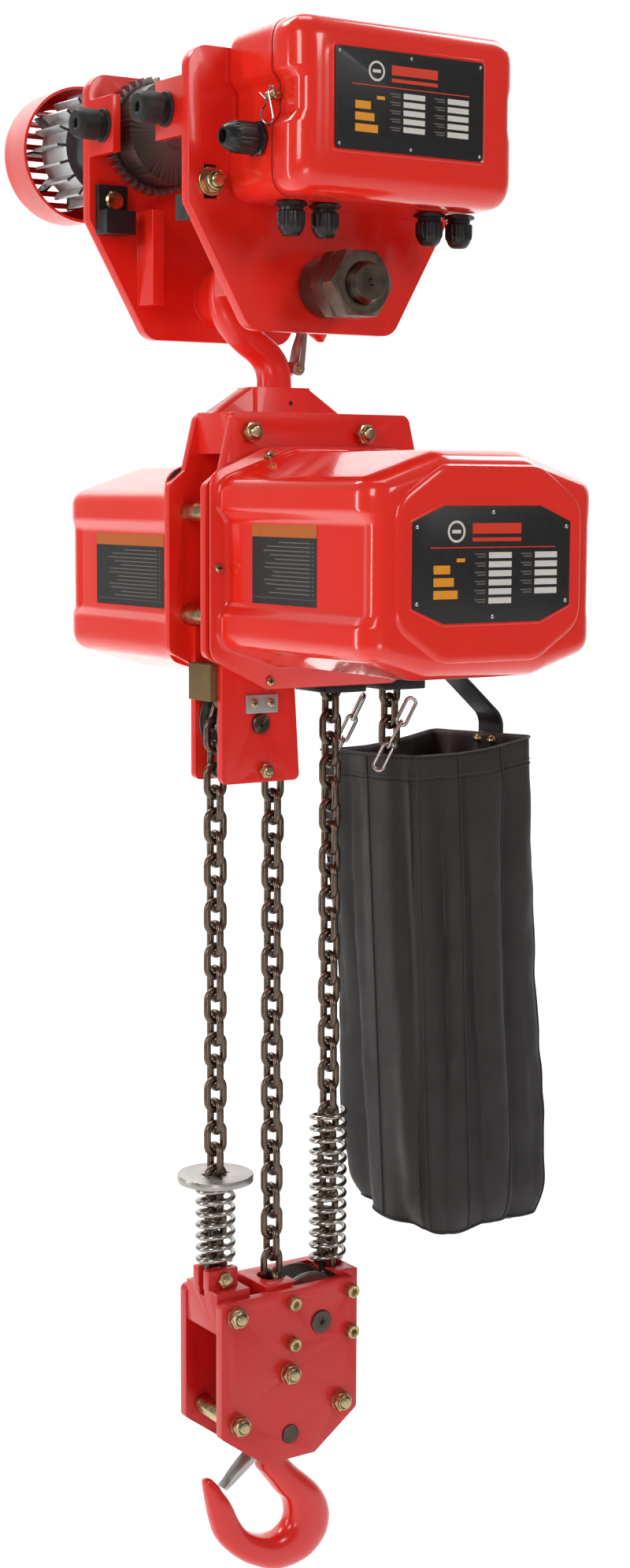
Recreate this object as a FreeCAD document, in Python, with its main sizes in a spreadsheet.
import FreeCAD, Part

import math
import os
import re

import Sketcher

# An electric chain hoist that hangs from a motor-driven beam trolley, in millimetres.
# The origin is the middle of the beam's lower flange, on the surface that the wheels run on.
# +X runs along the beam, +Y across it and +Z up, so the whole hoist hangs below the origin.
# Heights below the origin are given as drops, which are positive.

SIZES = {
    # trolley side plates
    "side_gap_half": 81.5, "side_thick": 12, "side_half_top": 135, "side_half_bottom": 75,
    "side_top": 96, "side_shoulder": 32, "side_bottom": 136, "side_corner": 18,
    "gusset_place": 80, "gusset_thick": 12, "gusset_depth": 28, "gusset_top": 22, "gusset_low": 106,
    "tab_thick": 8, "tab_depth": 44, "tab_low": 23, "tab_high": 72,
    "boss_depth": 26.5,
    # wheels and their drive
    "wheel_radius": 45, "wheel_place": 70, "wheel_tread": 30, "rim_width": 9, "rim_radius": 51,
    "wheel_gap": 1.5, "axle_radius": 10, "axle_head_radius": 14, "axle_head": 5,
    "gear_module": 2.5, "wheel_teeth": 40, "pinion_teeth": 20, "pinion_shaft_radius": 8,
    "pinion_shaft_length": 38,
    # suspension shaft
    "shaft_radius": 18, "shaft_drop": 97, "shaft_half": 167, "shaft_tip": 9, "shaft_tip_radius": 15.5,
    "collar_radius": 26, "collar_length": 24.5, "inner_collar_start": 15.5,
    "jam_nut": 18, "main_nut": 20, "shaft_nut_flats": 55,
    # flange guards under the beam's flange
    "guard_place": 114, "guard_half": 15, "guard_leg": 6, "guard_reach": 21, "guard_top": 1,
    "guard_lip_top": 24, "guard_low": 45, "guard_bolt_drop": 15, "guard_bolt_radius": 6,
    "guard_slot_half": 14, "guard_nut_flats": 19, "guard_nut": 10,
    # rubber buffers
    "buffer_radius": 13.5, "buffer_length": 29, "buffer_place": 55, "buffer_height": 47,
    "buffer_hole": 4, "buffer_hole_depth": 14,
    # travel gearmotor
    "case_left": 130, "case_right": 28, "case_low": 2, "case_high": 100, "case_depth": 24,
    "travel_motor_place": 95, "travel_motor_height": 37, "travel_body_radius": 44,
    "travel_body": 48, "fin_count": 20, "fin_thick": 2.4, "fin_tip_radius": 53,
    "fan_cover_radius": 62, "fan_cover_length": 52, "fan_cover_wall": 2.5,
    # control box on the trolley
    "box_mid": 14, "box_half": 113, "box_low": 33, "box_high": 111, "shell_depth": 71,
    "seal": 1.6, "lid_depth": 41, "box_wall": 2.5, "notch_mid": 46, "notch_half": 13,
    "notch_ramp": 8, "notch_depth": 8, "box_corner": 15,
    # cable glands
    "gland_radius": 5.5, "gland_flats": 24, "gland_length": 28, "gland_collar": 5,
    "gland_neck": 3, "gland_neck_radius": 9.5, "gland_nut": 13, "gland_inset": 19,
    "gland_first": 67, "gland_second": 33, "gland_third": 76, "gland_fourth": 108,
    "side_gland_height": 15, "side_gland_flats": 27, "side_gland_length": 35,
    # top hook
    "swivel_x": 9.4, "shank_radius": 15, "hook_half": 13, "shank_low": 240, "neck_drop": 176,
    "hook_collar_radius": 22, "hook_collar": 14,
    "top_latch_x": 31, "top_latch_drop": 162, "top_latch_length": 37,
    # yoke and frame
    "yoke_low": 240, "yoke_top": 203, "yoke_left": 55, "yoke_right": 137, "ridge_top": 180,
    "ridge_low_half": 66, "ridge_top_half": 29, "ridge_half": 12, "boss_half": 28, "boss_deep": 17,
    "nut_pocket_radius": 25, "nut_pocket": 18,
    "frame_gap_half": 27.6, "frame_thick": 8, "frame_mid": 47, "frame_half": 132,
    "frame_side_top": 268, "frame_shoulder": 255, "frame_side_low": 419, "frame_low": 451,
    "frame_low_half": 69, "lug_left": 55, "lug_right": 135, "lug_flare": 13,
    "tie_place": 112, "tie_high": 292, "tie_low": 385, "tie_radius": 5, "tube_radius": 9,
    "yoke_bolt_left": 38, "yoke_bolt_right": 84, "yoke_bolt_drop": 221, "lock_nut_flats": 17,
    "lock_nut": 9,
    # covers
    "gasket": 2, "flange": 3, "flange_half": 129, "flange_top": 234, "flange_top_half": 71.5,
    "flange_side_top": 258, "flange_side_low": 421, "flange_low_half": 69,
    "cover_half": 120, "cover_top": 238, "cover_top_half": 32, "cover_bevel_top": 265,
    "cover_bevel_half": 109, "cover_side_top": 277, "cover_side_low": 395, "cover_bevel_low": 409,
    "cover_low": 429, "cover_low_half": 49, "band_top": 299, "band_low": 373, "band_depth": 8,
    "band_ramp": 10, "front_depth": 242, "rear_depth": 222, "cover_wall": 2.5,
    "rear_fall": 12.5, "rear_side_low": 412, "rear_bevel_low": 429, "rear_low": 447,
    "rear_low_half": 30,
    "screw_radius": 2, "screw_head_radius": 4.5, "screw_head": 3,
    # gear train and hoist motor
    "sheave_x": 107.9, "sheave_drop": 341, "load_pitch_radius": 34.2, "load_shaft_radius": 15,
    "load_module": 2, "load_teeth": 40, "lay_pinion_teeth": 16, "lay_module": 1.5, "lay_teeth": 48,
    "motor_pinion_teeth": 16, "lay_shaft_radius": 7, "motor_shaft_radius": 8,
    "train_wall": 4, "train_depth": 48, "train_margin": 3.5, "train_end": 8,
    "clutch_radius": 13.5, "clutch_disc": 4, "clutch_start": 46, "stub_radius": 6, "stub": 6,
    "rotor_radius": 34, "air_gap": 0.5, "stator_radius": 60, "stator_length": 140,
    "motor_flange": 10, "rotor_start": 62, "rotor_length": 106, "fan_radius": 42, "fan": 12,
    "brake_radius": 48, "brake": 22,
    "panel_start": 118, "panel_thick": 3,
    # lower bracket and idler
    "bracket_gap_half": 19.6, "bracket_left": 62.3, "bracket_right": 21, "bracket_taper": 9,
    "bracket_top": 395, "bracket_low": 537, "idler_x": 21.8, "idler_drop": 483,
    "idler_pitch_radius": 31.2, "idler_flange_radius": 38.6, "idler_axle_radius": 9, "idler_head": 3.5,
    "keeper_half": 17, "keeper_low": 473.5, "keeper_high": 456, "keeper_thick": 3,
    "bracket_bolt_x": 17, "bracket_bolt_drop": 526, "bracket_bolt_radius": 4,
    "bracket_nut_flats": 13, "bracket_nut": 7.5,
    "entry_left": 70, "entry_right": 46, "entry_high": 428, "entry_low": 462,
    "guide_half": 22.5, "guide_top": 449, "guide_low": 459, "guide_hole": 15.5,
    # load chain and its wheels
    "wire": 6.8, "pitch": 21, "link_width": 24, "link_length": 35.6, "chain_gap": 0.8,
    "wheel_flange_radius": 42, "groove_half": 13, "sheave_half": 17.5, "slot_half": 4.6,
    "anchor_drop": 1005, "anchor_bolt_radius": 4,
    # hook block
    "block_gap_half": 27.6, "block_thick": 10, "block_mid": 7, "block_half": 76, "block_top": 1020,
    "block_side_low": 1150, "block_low": 1185.4, "block_low_half": 28, "block_corner": 6,
    "block_sheave_x": 41.6, "block_sheave_drop": 1057, "block_pitch_radius": 32.15,
    "block_axle_radius": 11, "block_axle_proud": 2, "hook_pin_radius": 9, "hook_pin_drop": 1161,
    "block_bolt_radius": 5, "guide_screw_x": 33, "guide_screw_high": 1032, "guide_screw_low": 1072,
    "guide_screw_radius": 4, "guide_head_radius": 6.5, "guide_head": 8,
    "anchor_half": 16, "anchor_deep": 14, "anchor_top": 995.4, "anchor_base_top": 1013,
    "anchor_base_low": 1052, "anchor_slot_half": 4.4, "guide_block_left": 14,
    "guide_block_right": 33, "seat_left": 50, "seat_right": 90, "seat_top": 1016, "seat_low": 1036,
    "disc_radius": 35.5, "disc": 7, "disc_drop": 906, "disc_slot": 26, "disc_slot_width": 8.8,
    "left_spring_radius": 16.6, "left_spring_wire": 5, "left_spring_turns": 7,
    "right_spring_radius": 16.2, "right_spring_wire": 4.5, "right_spring_turns": 13,
    "right_spring_top": 861,
    # lower hook
    "trunnion_half": 20, "trunnion_deep": 27.1, "trunnion_height": 26, "lower_shank_radius": 13,
    "lower_hook_half": 14, "lower_neck": 1176, "lower_origin": 1191, "lower_nut_radius": 20,
    "lower_nut": 12, "latch_x": 13, "latch_drop": 1186, "latch_length": 45, "latch_half": 9,
    "latch_thick": 4, "latch_cheek": 2.5, "latch_eye_radius": 5.5, "latch_pin_radius": 2.5,
    "lug_half": 6.5,
    # chain bag and what it hangs from
    "bag_left": 124, "bag_right": 270, "bag_front": 64, "bag_back": 107, "bag_top": 506,
    "bag_low_left": 136, "bag_low_right": 292, "bag_low_front": 95, "bag_low_back": 95,
    "bag_low": 985, "bag_wall": 2, "bag_rim_fall": 25,
    "strap_thick": 4, "strap_front": 8, "strap_back": 28, "strap_start": 157, "strap_bend": 216,
    "strap_drop": 449, "strap_low_bend": 491, "strap_low": 532, "strap_gap": 2,
    "bag_wire": 3.5, "bag_pitch": 24, "bag_link_width": 13,
    # running fits and free gaps
    "fit": 0.05, "gap": 0.3,
}

doc = FreeCAD.newDocument("chain_hoist")
sheet = doc.addObject("Spreadsheet::Sheet", "Sizes")
for row, (alias, number) in enumerate(SIZES.items(), start=1):
    sheet.set("A%d" % row, alias)
    sheet.set("B%d" % row, str(number))
    sheet.setAlias("B%d" % row, alias)
doc.recompute()

V = FreeCAD.Vector
TURNS = {
    "X": FreeCAD.Rotation(V(0, 1, 0), 90),
    "Y": FreeCAD.Rotation(V(1, 0, 0), -90),
    "Z": FreeCAD.Rotation(),
}
NODES = {}


# ---- the sheet and its expressions ----

def linked(expression):
    """An expression with every alias written as a cell of the sheet."""
    return re.sub(r"[A-Za-z_]\w*",
                  lambda word: "Sizes." + word.group(0) if word.group(0) in SIZES else word.group(0),
                  expression)


def size(expression):
    """The number that an expression of aliases gives now."""
    return float(sheet.evalExpression(linked(expression)))


def bind(item, **properties):
    """Bind properties of an object to expressions of aliases."""
    for name, expression in properties.items():
        item.setExpression(name, linked(expression))


def place(item, x, y, z):
    """Bind an object's position to three expressions."""
    for axis, expression in zip("xyz", (x, y, z)):
        item.setExpression("Placement.Base." + axis, linked(expression))


# ---- primitives and booleans ----

def cylinder(name, radius, length, x, y, z, axis="Y"):
    """A cylinder that starts at x, y, z and runs along +axis."""
    item = doc.addObject("Part::Cylinder", name)
    item.Placement.Rotation = TURNS[axis]
    bind(item, Radius=radius, Height=length)
    place(item, x, y, z)
    return item


def cone(name, radius, end_radius, length, x, y, z, axis):
    """A cone frustum that starts at x, y, z and runs along +axis."""
    item = doc.addObject("Part::Cone", name)
    item.Placement.Rotation = TURNS[axis]
    bind(item, Radius1=radius, Radius2=end_radius, Height=length)
    place(item, x, y, z)
    return item


def hexagon(name, flats, length, x, y, z, axis="Y"):
    """A hexagonal prism, by its width across flats."""
    item = doc.addObject("Part::Prism", name)
    item.Polygon = 6
    item.Placement.Rotation = TURNS[axis]
    bind(item, Circumradius="(%s) / sqrt(3)" % flats, Height=length)
    place(item, x, y, z)
    return item


def box(name, low_x, high_x, low_y, high_y, low_z, high_z):
    """A box between two corners."""
    item = doc.addObject("Part::Box", name)
    bind(item, Length="(%s) - (%s)" % (high_x, low_x), Width="(%s) - (%s)" % (high_y, low_y),
         Height="(%s) - (%s)" % (high_z, low_z))
    place(item, low_x, low_y, low_z)
    return item


def fuse(name, items):
    item = doc.addObject("Part::MultiFuse", name)
    item.Shapes = items
    return item


def group(name, items):
    """Separate solids under one label."""
    item = doc.addObject("Part::Compound", name)
    item.Links = items
    return item


def cut(name, base, tools):
    item = doc.addObject("Part::Cut", name)
    item.Base = base
    item.Tool = tools[0] if len(tools) == 1 else fuse(name + "_tools", tools)
    return item


def node(label, item):
    """Give the finished sub-part its label."""
    item.Label = label
    NODES[label] = item
    return item


# ---- bodies made from sketches on the XZ plane, where a sketch's normal points along -Y ----

def sketch_on(body, name, offset):
    plane = [item for item in body.Origin.OriginFeatures if item.Role == "XZ_Plane"][0]
    sketch = body.newObject("Sketcher::SketchObject", name)
    sketch.AttachmentSupport = [(plane, "")]
    sketch.MapMode = "FlatFace"
    sketch.setExpression("AttachmentOffset.Base.z", linked("-(%s)" % offset))
    return sketch


def fix_point(sketch, geometry, end, x, z):
    """Tie one point of a sketch to two expressions."""
    for kind, expression in (("DistanceX", x), ("DistanceY", z)):
        index = sketch.addConstraint(Sketcher.Constraint(kind, -1, 1, geometry, end, size(expression)))
        sketch.setExpression("Constraints[%d]" % index, linked(expression))


def draw_polygon(sketch, points):
    """A closed outline through points that are pairs of expressions."""
    first = sketch.GeometryCount
    corners = [V(size(x), size(z), 0) for x, z in points]
    for index, corner in enumerate(corners):
        sketch.addGeometry(Part.LineSegment(corner, corners[(index + 1) % len(corners)]), False)
    for index, (x, z) in enumerate(points):
        following = (index + 1) % len(points)
        sketch.addConstraint(Sketcher.Constraint("Coincident", first + index, 2, first + following, 1))
        fix_point(sketch, first + index, 1, x, z)


def draw_circle(sketch, x, z, radius):
    circle = sketch.addGeometry(Part.Circle(V(size(x), size(z), 0), V(0, 0, 1), size(radius)), False)
    fix_point(sketch, circle, 3, x, z)
    index = sketch.addConstraint(Sketcher.Constraint("Radius", circle, size(radius)))
    sketch.setExpression("Constraints[%d]" % index, linked(radius))


def add_pad(body, name, outline, start, depth, holes=(), windows=()):
    """Pad an outline from y = start to y = start + depth, with round holes and windows."""
    sketch = sketch_on(body, name + "_sketch", "(%s) + (%s)" % (start, depth))
    draw_polygon(sketch, outline)
    for x, z, radius in holes:
        draw_circle(sketch, x, z, radius)
    for window in windows:
        draw_polygon(sketch, window)
    pad = body.newObject("PartDesign::Pad", name)
    pad.Profile = sketch
    bind(pad, Length=depth)
    return pad


def add_pocket(body, name, outline, start, depth):
    """Pocket an outline from y = start to y = start + depth."""
    sketch = sketch_on(body, name + "_sketch", start)
    draw_polygon(sketch, outline)
    pocket = body.newObject("PartDesign::Pocket", name)
    pocket.Profile = sketch
    bind(pocket, Length=depth)
    return pocket


def round_corners(body, name, feature, corners, radius):
    """Fillet the edges along Y that stand at the given corners."""
    doc.recompute()
    spots = [(size(x), size(z)) for x, z in corners]
    names = []
    for index, edge in enumerate(feature.Shape.Edges, start=1):
        ends = [vertex.Point for vertex in edge.Vertexes]
        along = len(ends) == 2 and abs(ends[0].x - ends[1].x) + abs(ends[0].z - ends[1].z) < 1e-4
        if along and any(abs(ends[0].x - x) + abs(ends[0].z - z) < 1e-3 for x, z in spots):
            names.append("Edge%d" % index)
    fillet = body.newObject("PartDesign::Fillet", name)
    fillet.Base = (feature, names)
    bind(fillet, Radius=radius)
    return fillet


def plate(name, outline, start, depth, holes=(), windows=(), corners=(), radius="0"):
    """A flat plate normal to Y, with rounded corners where they are asked for."""
    body = doc.addObject("PartDesign::Body", name)
    pad = add_pad(body, name + "_pad", outline, start, depth, holes, windows)
    if corners:
        round_corners(body, name + "_fillet", pad, corners, radius)
    return body


def rectangle(left, right, low, high):
    return [(left, low), (right, low), (right, high), (left, high)]


def holed(name, solid, radius, length, x, y, z, axis="Y"):
    """A solid with one bore through it."""
    return cut(name, solid, [cylinder(name + "_bore", radius, length, x, y, z, axis)])


def nut(name, flats, thick, bore, x, y, z, axis="Y"):
    return holed(name, hexagon(name + "_hex", flats, thick, x, y, z, axis), bore, thick, x, y, z, axis)


# ---- trolley ----

def side_plate(name, sign):
    """One side plate with its welded gussets, buffer tabs and shaft boss. sign is -1 at the front."""
    inner = "%d * side_gap_half" % sign
    start = "side_gap_half" if sign > 0 else "-(side_gap_half + side_thick)"
    outline = [("-side_half_top", "side_top"), ("-side_half_top", "-side_shoulder"),
               ("-side_half_bottom", "-side_bottom"), ("side_half_bottom", "-side_bottom"),
               ("side_half_top", "-side_shoulder"), ("side_half_top", "side_top")]
    holes = [("0", "-shaft_drop", "shaft_radius + fit")]
    holes += [("%d * wheel_place" % side, "wheel_radius", "axle_radius + fit") for side in (-1, 1)]
    if sign > 0:
        holes.append(("0", PINION_HEIGHT, "pinion_shaft_radius + 1"))
    slots = [rectangle("%d * guard_place - guard_bolt_radius - gap" % side,
                       "%d * guard_place + guard_bolt_radius + gap" % side,
                       "-guard_bolt_drop - guard_slot_half", "-guard_bolt_drop + guard_slot_half")
             for side in (-1, 1)]
    flat = plate(name + "_flat", outline, start, "side_thick", holes, slots,
                 [outline[0], outline[2], outline[3], outline[5]], "side_corner")
    pieces = [flat]
    for side in (-1, 1):
        label = "%s_%s" % (name, "right" if side > 0 else "left")
        inside = "%s - %d * gusset_depth" % (inner, sign)
        low_y, high_y = (inside, inner) if sign > 0 else (inner, inside)
        middle = "%d * gusset_place" % side
        pieces.append(box(label + "_gusset", middle + " - gusset_thick / 2", middle + " + gusset_thick / 2",
                          low_y, high_y, "-gusset_low", "-gusset_top"))
        inside = "%s - %d * tab_depth" % (inner, sign)
        low_y, high_y = (inside, inner) if sign > 0 else (inner, inside)
        low_x = "side_half_top - tab_thick" if side > 0 else "-side_half_top"
        pieces.append(box(label + "_tab", low_x, low_x + " + tab_thick", low_y, high_y,
                          "tab_low", "tab_high"))
    boss_start = "side_gap_half - boss_depth" if sign > 0 else "-side_gap_half"
    boss = cylinder(name + "_boss", "collar_radius", "boss_depth", "0", boss_start, "-shaft_drop")
    pieces.append(holed(name + "_boss_ring", boss, "shaft_radius + fit", "boss_depth",
                        "0", boss_start, "-shaft_drop"))
    return node(name, fuse(name, pieces))


def gear_shape(teeth, module, depth, phase=0.0, backlash=0.16):
    """A spur gear about +Z from z = 0, its first tooth at the angle phase (degrees)."""
    pitch_radius = teeth * module / 2
    step = 2 * math.pi / teeth
    half_tooth = step / 4 * (1 - backlash)
    rise = 0.45 * module / pitch_radius
    points = []
    for tooth in range(teeth):
        middle = math.radians(phase) + tooth * step
        for radius, angle in ((pitch_radius - 1.25 * module, -half_tooth - rise),
                              (pitch_radius + 0.9 * module, -half_tooth + rise),
                              (pitch_radius + 0.9 * module, half_tooth - rise),
                              (pitch_radius - 1.25 * module, half_tooth + rise)):
            points.append(V(radius * math.cos(middle + angle), radius * math.sin(middle + angle), 0))
    return Part.Face(Part.makePolygon(points + points[:1])).extrude(V(0, 0, depth))


def along_y(shape, x, y, z):
    """Stand a shape that was made about +Z along +Y, its X kept and its Y turned down to -Z."""
    shape.Placement = FreeCAD.Placement(V(x, y, z), TURNS["Y"])
    return shape


def feature(name, shape):
    item = doc.addObject("Part::Feature", name)
    item.Shape = shape
    return item


def ring_shape(outer, inner, length, start=0):
    """A tube about +Z."""
    tube = Part.makeCylinder(outer, length, V(0, 0, start))
    return tube.cut(Part.makeCylinder(inner, length, V(0, 0, start))) if inner > 0 else tube


WHEEL_START = "side_gap_half - wheel_gap - rim_width - wheel_tread"
PINION_HEIGHT = ("wheel_radius + sqrt((gear_module * (wheel_teeth + pinion_teeth) / 2)^2"
                 " - wheel_place^2)")


def plain_wheel(name, side):
    """A front wheel: its rim is on the side of the plate, at -Y."""
    x = "%d * wheel_place" % side
    tread = cylinder(name + "_tread", "wheel_radius", "wheel_tread", x,
                     "-(%s) - wheel_tread" % WHEEL_START, "wheel_radius")
    rim = cylinder(name + "_rim", "rim_radius", "rim_width", x, "-side_gap_half + wheel_gap",
                   "wheel_radius")
    both = fuse(name + "_solid", [tread, rim])
    return node(name, holed(name, both, "axle_radius + fit", "wheel_tread + rim_width", x,
                            "-side_gap_half + wheel_gap", "wheel_radius"))


def geared_wheel(name, side):
    """A rear wheel, whose rim is a gear that the pinion drives."""
    x = size("wheel_place") * side
    to_pinion = math.degrees(math.atan2(-(size(PINION_HEIGHT) - size("wheel_radius")), -x))
    teeth = int(size("wheel_teeth"))
    pinion_teeth = size("pinion_teeth")
    rise = size(PINION_HEIGHT) - size("wheel_radius")
    lag = math.degrees(math.atan2(rise, -size("wheel_place")) - math.atan2(rise, x)) % (360 / pinion_teeth)
    gap_phase = to_pinion + 180.0 / teeth - lag * pinion_teeth / teeth
    tread = size("wheel_tread")
    shape = Part.makeCylinder(size("wheel_radius"), tread)
    rim = gear_shape(teeth, size("gear_module"), size("rim_width"), gap_phase)
    rim.translate(V(0, 0, tread))
    whole = shape.fuse(rim)
    bore = Part.makeCylinder(size("axle_radius + fit"), tread + size("rim_width"))
    return node(name, feature(name, along_y(whole.cut(bore), x, size(WHEEL_START), size("wheel_radius"))))


def drive_pinion():
    """The pinion between the rear wheels. One of its teeth points at the left wheel's centre."""
    teeth = int(size("pinion_teeth"))
    rise = size(PINION_HEIGHT) - size("wheel_radius")
    toward_left = math.degrees(math.atan2(rise, -size("wheel_place")))
    gear = gear_shape(teeth, size("gear_module"), size("rim_width"), toward_left)
    shaft = Part.makeCylinder(size("pinion_shaft_radius"), size("pinion_shaft_length"))
    start = size("side_gap_half - wheel_gap - rim_width")
    return node("drive_pinion", feature("drive_pinion",
                along_y(gear.fuse(shaft), 0, start, size(PINION_HEIGHT))))


def rubber_buffers():
    buffers = []
    for side in (-1, 1):
        for across in (-1, 1):
            name = "buffer_%s_%s" % ("right" if side > 0 else "left", "rear" if across > 0 else "front")
            y = "%d * buffer_place" % across
            start = "side_half_top" if side > 0 else "-side_half_top - buffer_length"
            wide, narrow = "buffer_radius", "buffer_radius - 1"
            ends = (wide, narrow) if side > 0 else (narrow, wide)
            body = cone(name + "_rubber", *ends, "buffer_length", start, y, "buffer_height", "X")
            mouth = "side_half_top + buffer_length - buffer_hole_depth" if side > 0 else start
            buffers.append(holed(name, body, "buffer_hole", "buffer_hole_depth", mouth, y,
                                 "buffer_height", "X"))
    return node("rubber_buffers", group("rubber_buffers", buffers))


def suspension_shaft():
    tips = [cylinder("shaft_tip_%d" % index, "shaft_tip_radius", "shaft_tip", "0", start, "-shaft_drop")
            for index, start in enumerate(("-shaft_half", "shaft_half - shaft_tip"))]
    core = cylinder("shaft_core", "shaft_radius", "2 * (shaft_half - shaft_tip)", "0",
                    "-shaft_half + shaft_tip", "-shaft_drop")
    return node("suspension_shaft", fuse("suspension_shaft", [core] + tips))


def shaft_fittings():
    """Distance collars inside and outside the plates, and two nuts at each end."""
    plate_face = "side_gap_half + side_thick"
    spans = {"outer": (plate_face, "collar_length"),
             "inner": ("inner_collar_start", "side_gap_half - boss_depth - inner_collar_start")}
    collars = []
    for sign in (-1, 1):
        for label, (near, length) in spans.items():
            start = near if sign > 0 else "-(%s) - (%s)" % (near, length)
            name = "collar_%s_%s" % (label, "rear" if sign > 0 else "front")
            solid = cylinder(name + "_solid", "collar_radius", length, "0", start, "-shaft_drop")
            collars.append(holed(name, solid, "shaft_radius + fit", length, "0", start, "-shaft_drop"))
    node("shaft_collars", group("shaft_collars", collars))
    nuts = []
    for sign in (-1, 1):
        near = plate_face + " + collar_length"
        for label, thick in (("jam", "jam_nut"), ("main", "main_nut")):
            start = near if sign > 0 else "-(%s) - %s" % (near, thick)
            nuts.append(nut("%s_nut_%s" % (label, "rear" if sign > 0 else "front"), "shaft_nut_flats",
                            thick, "shaft_radius + fit", "0", start, "-shaft_drop"))
            near += " + %s + gap" % thick
    node("shaft_nuts", group("shaft_nuts", nuts))


def flange_guards():
    """Lugs under the beam's flange, each clamped by a bolt in its slot. The one the control box covers is flush."""
    guards, bolts = [], []
    for side in (-1, 1):
        for sign in (-1, 1):
            name = "guard_%s_%s" % ("right" if side > 0 else "left", "rear" if sign > 0 else "front")
            middle = "%d * guard_place" % side
            left, right = middle + " - guard_half", middle + " + guard_half"
            spans = {"leg": ("side_gap_half - guard_leg", "side_gap_half"),
                     "lip": ("side_gap_half - guard_reach", "side_gap_half - guard_leg")}
            if sign < 0:
                spans = {key: ("-(%s)" % high, "-(%s)" % low) for key, (low, high) in spans.items()}
            leg = box(name + "_leg", left, right, *spans["leg"], "-guard_low", "-guard_top")
            lip = box(name + "_lip", left, right, *spans["lip"], "-guard_low", "-guard_lip_top")
            start = "side_gap_half - guard_leg" if sign > 0 else "-side_gap_half"
            guards.append(holed(name, fuse(name + "_angle", [leg, lip]), "guard_bolt_radius + fit",
                                "guard_leg", middle, start, "-guard_bolt_drop"))
            covered = side > 0 and sign < 0
            head = "guard_leg - 1"
            shank = "guard_leg + side_thick" + (" - 1" if covered else " + guard_nut + 3")
            near = "side_gap_half - guard_leg"
            rod = cylinder(name + "_rod", "guard_bolt_radius", shank, middle,
                           near if sign > 0 else "-(%s) - (%s)" % (near, shank), "-guard_bolt_drop")
            cap = cylinder(name + "_cap", "guard_bolt_radius + 3", head, middle,
                           near + " - (%s)" % head if sign > 0 else "-(%s)" % near, "-guard_bolt_drop")
            face = "side_gap_half + side_thick"
            pieces = [rod, cap]
            if not covered:
                pieces.append(hexagon(name + "_hex", "guard_nut_flats", "guard_nut", middle,
                                      face if sign > 0 else "-(%s) - guard_nut" % face,
                                      "-guard_bolt_drop"))
            bolts.append(fuse(name + "_bolt", pieces))
    node("flange_guards", group("flange_guards", guards))
    node("guard_bolts", group("guard_bolts", bolts))


def wheel_axles():
    """Stub axles with a head on the web side, held in the side plates."""
    axles = []
    for side in (-1, 1):
        for sign in (-1, 1):
            name = "axle_%s_%s" % ("right" if side > 0 else "left", "rear" if sign > 0 else "front")
            x = "%d * wheel_place" % side
            inner = WHEEL_START + " - gap - axle_head"
            length = "side_gap_half + side_thick - (%s)" % inner
            pin = cylinder(name + "_pin", "axle_radius", length, x,
                           inner if sign > 0 else "-(side_gap_half + side_thick)", "wheel_radius")
            head = cylinder(name + "_head", "axle_head_radius", "axle_head", x,
                            inner if sign > 0 else "-(%s) - axle_head" % inner, "wheel_radius")
            axles.append(fuse(name, [pin, head]))
    node("wheel_axles", group("wheel_axles", axles))


def travel_gearmotor():
    """The gearbox on the rear plate with the finned motor body, and the fan cover behind it."""
    face = "side_gap_half + side_thick"
    outline = [("-case_left", "case_low + 20"), ("-case_left + 20", "case_low"),
               ("case_right - 15", "case_low + 30"), ("case_right", "case_low + 45"),
               ("case_right", "case_high - 15"), ("case_right - 15", "case_high"),
               ("-case_left + 20", "case_high - 10"), ("-case_left", "case_high - 30")]
    case = plate("gearbox_body", outline, face, "case_depth",
                 [("0", PINION_HEIGHT, "pinion_shaft_radius + 1")])
    x, z = "-travel_motor_place", "travel_motor_height"
    start = face + " + case_depth"
    barrel = cylinder("travel_barrel", "travel_body_radius", "travel_body", x, start, z)
    fins = []
    for index in range(int(size("fin_count"))):
        angle = 360.0 * index / int(size("fin_count"))
        fin = Part.makeBox(size("fin_tip_radius - travel_body_radius") + 2, size("fin_thick"),
                           size("travel_body"), V(size("travel_body_radius") - 2, -size("fin_thick") / 2, 0))
        fin.rotate(V(), V(0, 0, 1), angle)
        fins.append(fin)
    ribs = feature("travel_fins", along_y(fins[0].multiFuse(fins[1:]), size(x), size(start), size(z)))
    node("travel_gearmotor", fuse("travel_gearmotor", [case, barrel, ribs]))
    far = start + " + travel_body"
    cup = cylinder("fan_cup", "fan_cover_radius", "fan_cover_length", x, far, z)
    inside = cylinder("fan_cup_inside", "fan_cover_radius - fan_cover_wall",
                      "fan_cover_length - fan_cover_wall", x, far, z)
    slots = []
    for index in range(-3, 4):
        middle = "%s + %d" % (z, 13 * index)
        reach = "%g" % (math.sqrt(48.0 ** 2 - (13 * index) ** 2))
        slots.append(box("fan_slot_%d" % (index + 3), "%s - %s" % (x, reach), "%s + %s" % (x, reach),
                         far + " + fan_cover_length - 2 * fan_cover_wall",
                         far + " + fan_cover_length + 1", middle + " - 3", middle + " + 3"))
    node("motor_fan_cover", cut("motor_fan_cover", cup, [inside] + slots))


def box_outline(inset):
    """The control box from the front: a rectangle with cut corners and a notch in each side."""
    left, right = "box_mid - box_half + (%s)" % inset, "box_mid + box_half - (%s)" % inset
    low, high = "-box_low + (%s)" % inset, "box_high - (%s)" % inset
    wide = "notch_half + notch_ramp"
    half = [("box_corner", low), ("0", low + " + box_corner"), ("0", "notch_mid - (%s)" % wide),
            ("notch_depth", "notch_mid - notch_half"), ("notch_depth", "notch_mid + notch_half"),
            ("0", "notch_mid + (%s)" % wide), ("0", high + " - box_corner"), ("box_corner", high)]
    west = [("%s + %s" % (left, dx), z) for dx, z in half]
    east = [("%s - %s" % (right, dx), z) for dx, z in reversed(half)]
    return west + east


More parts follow.
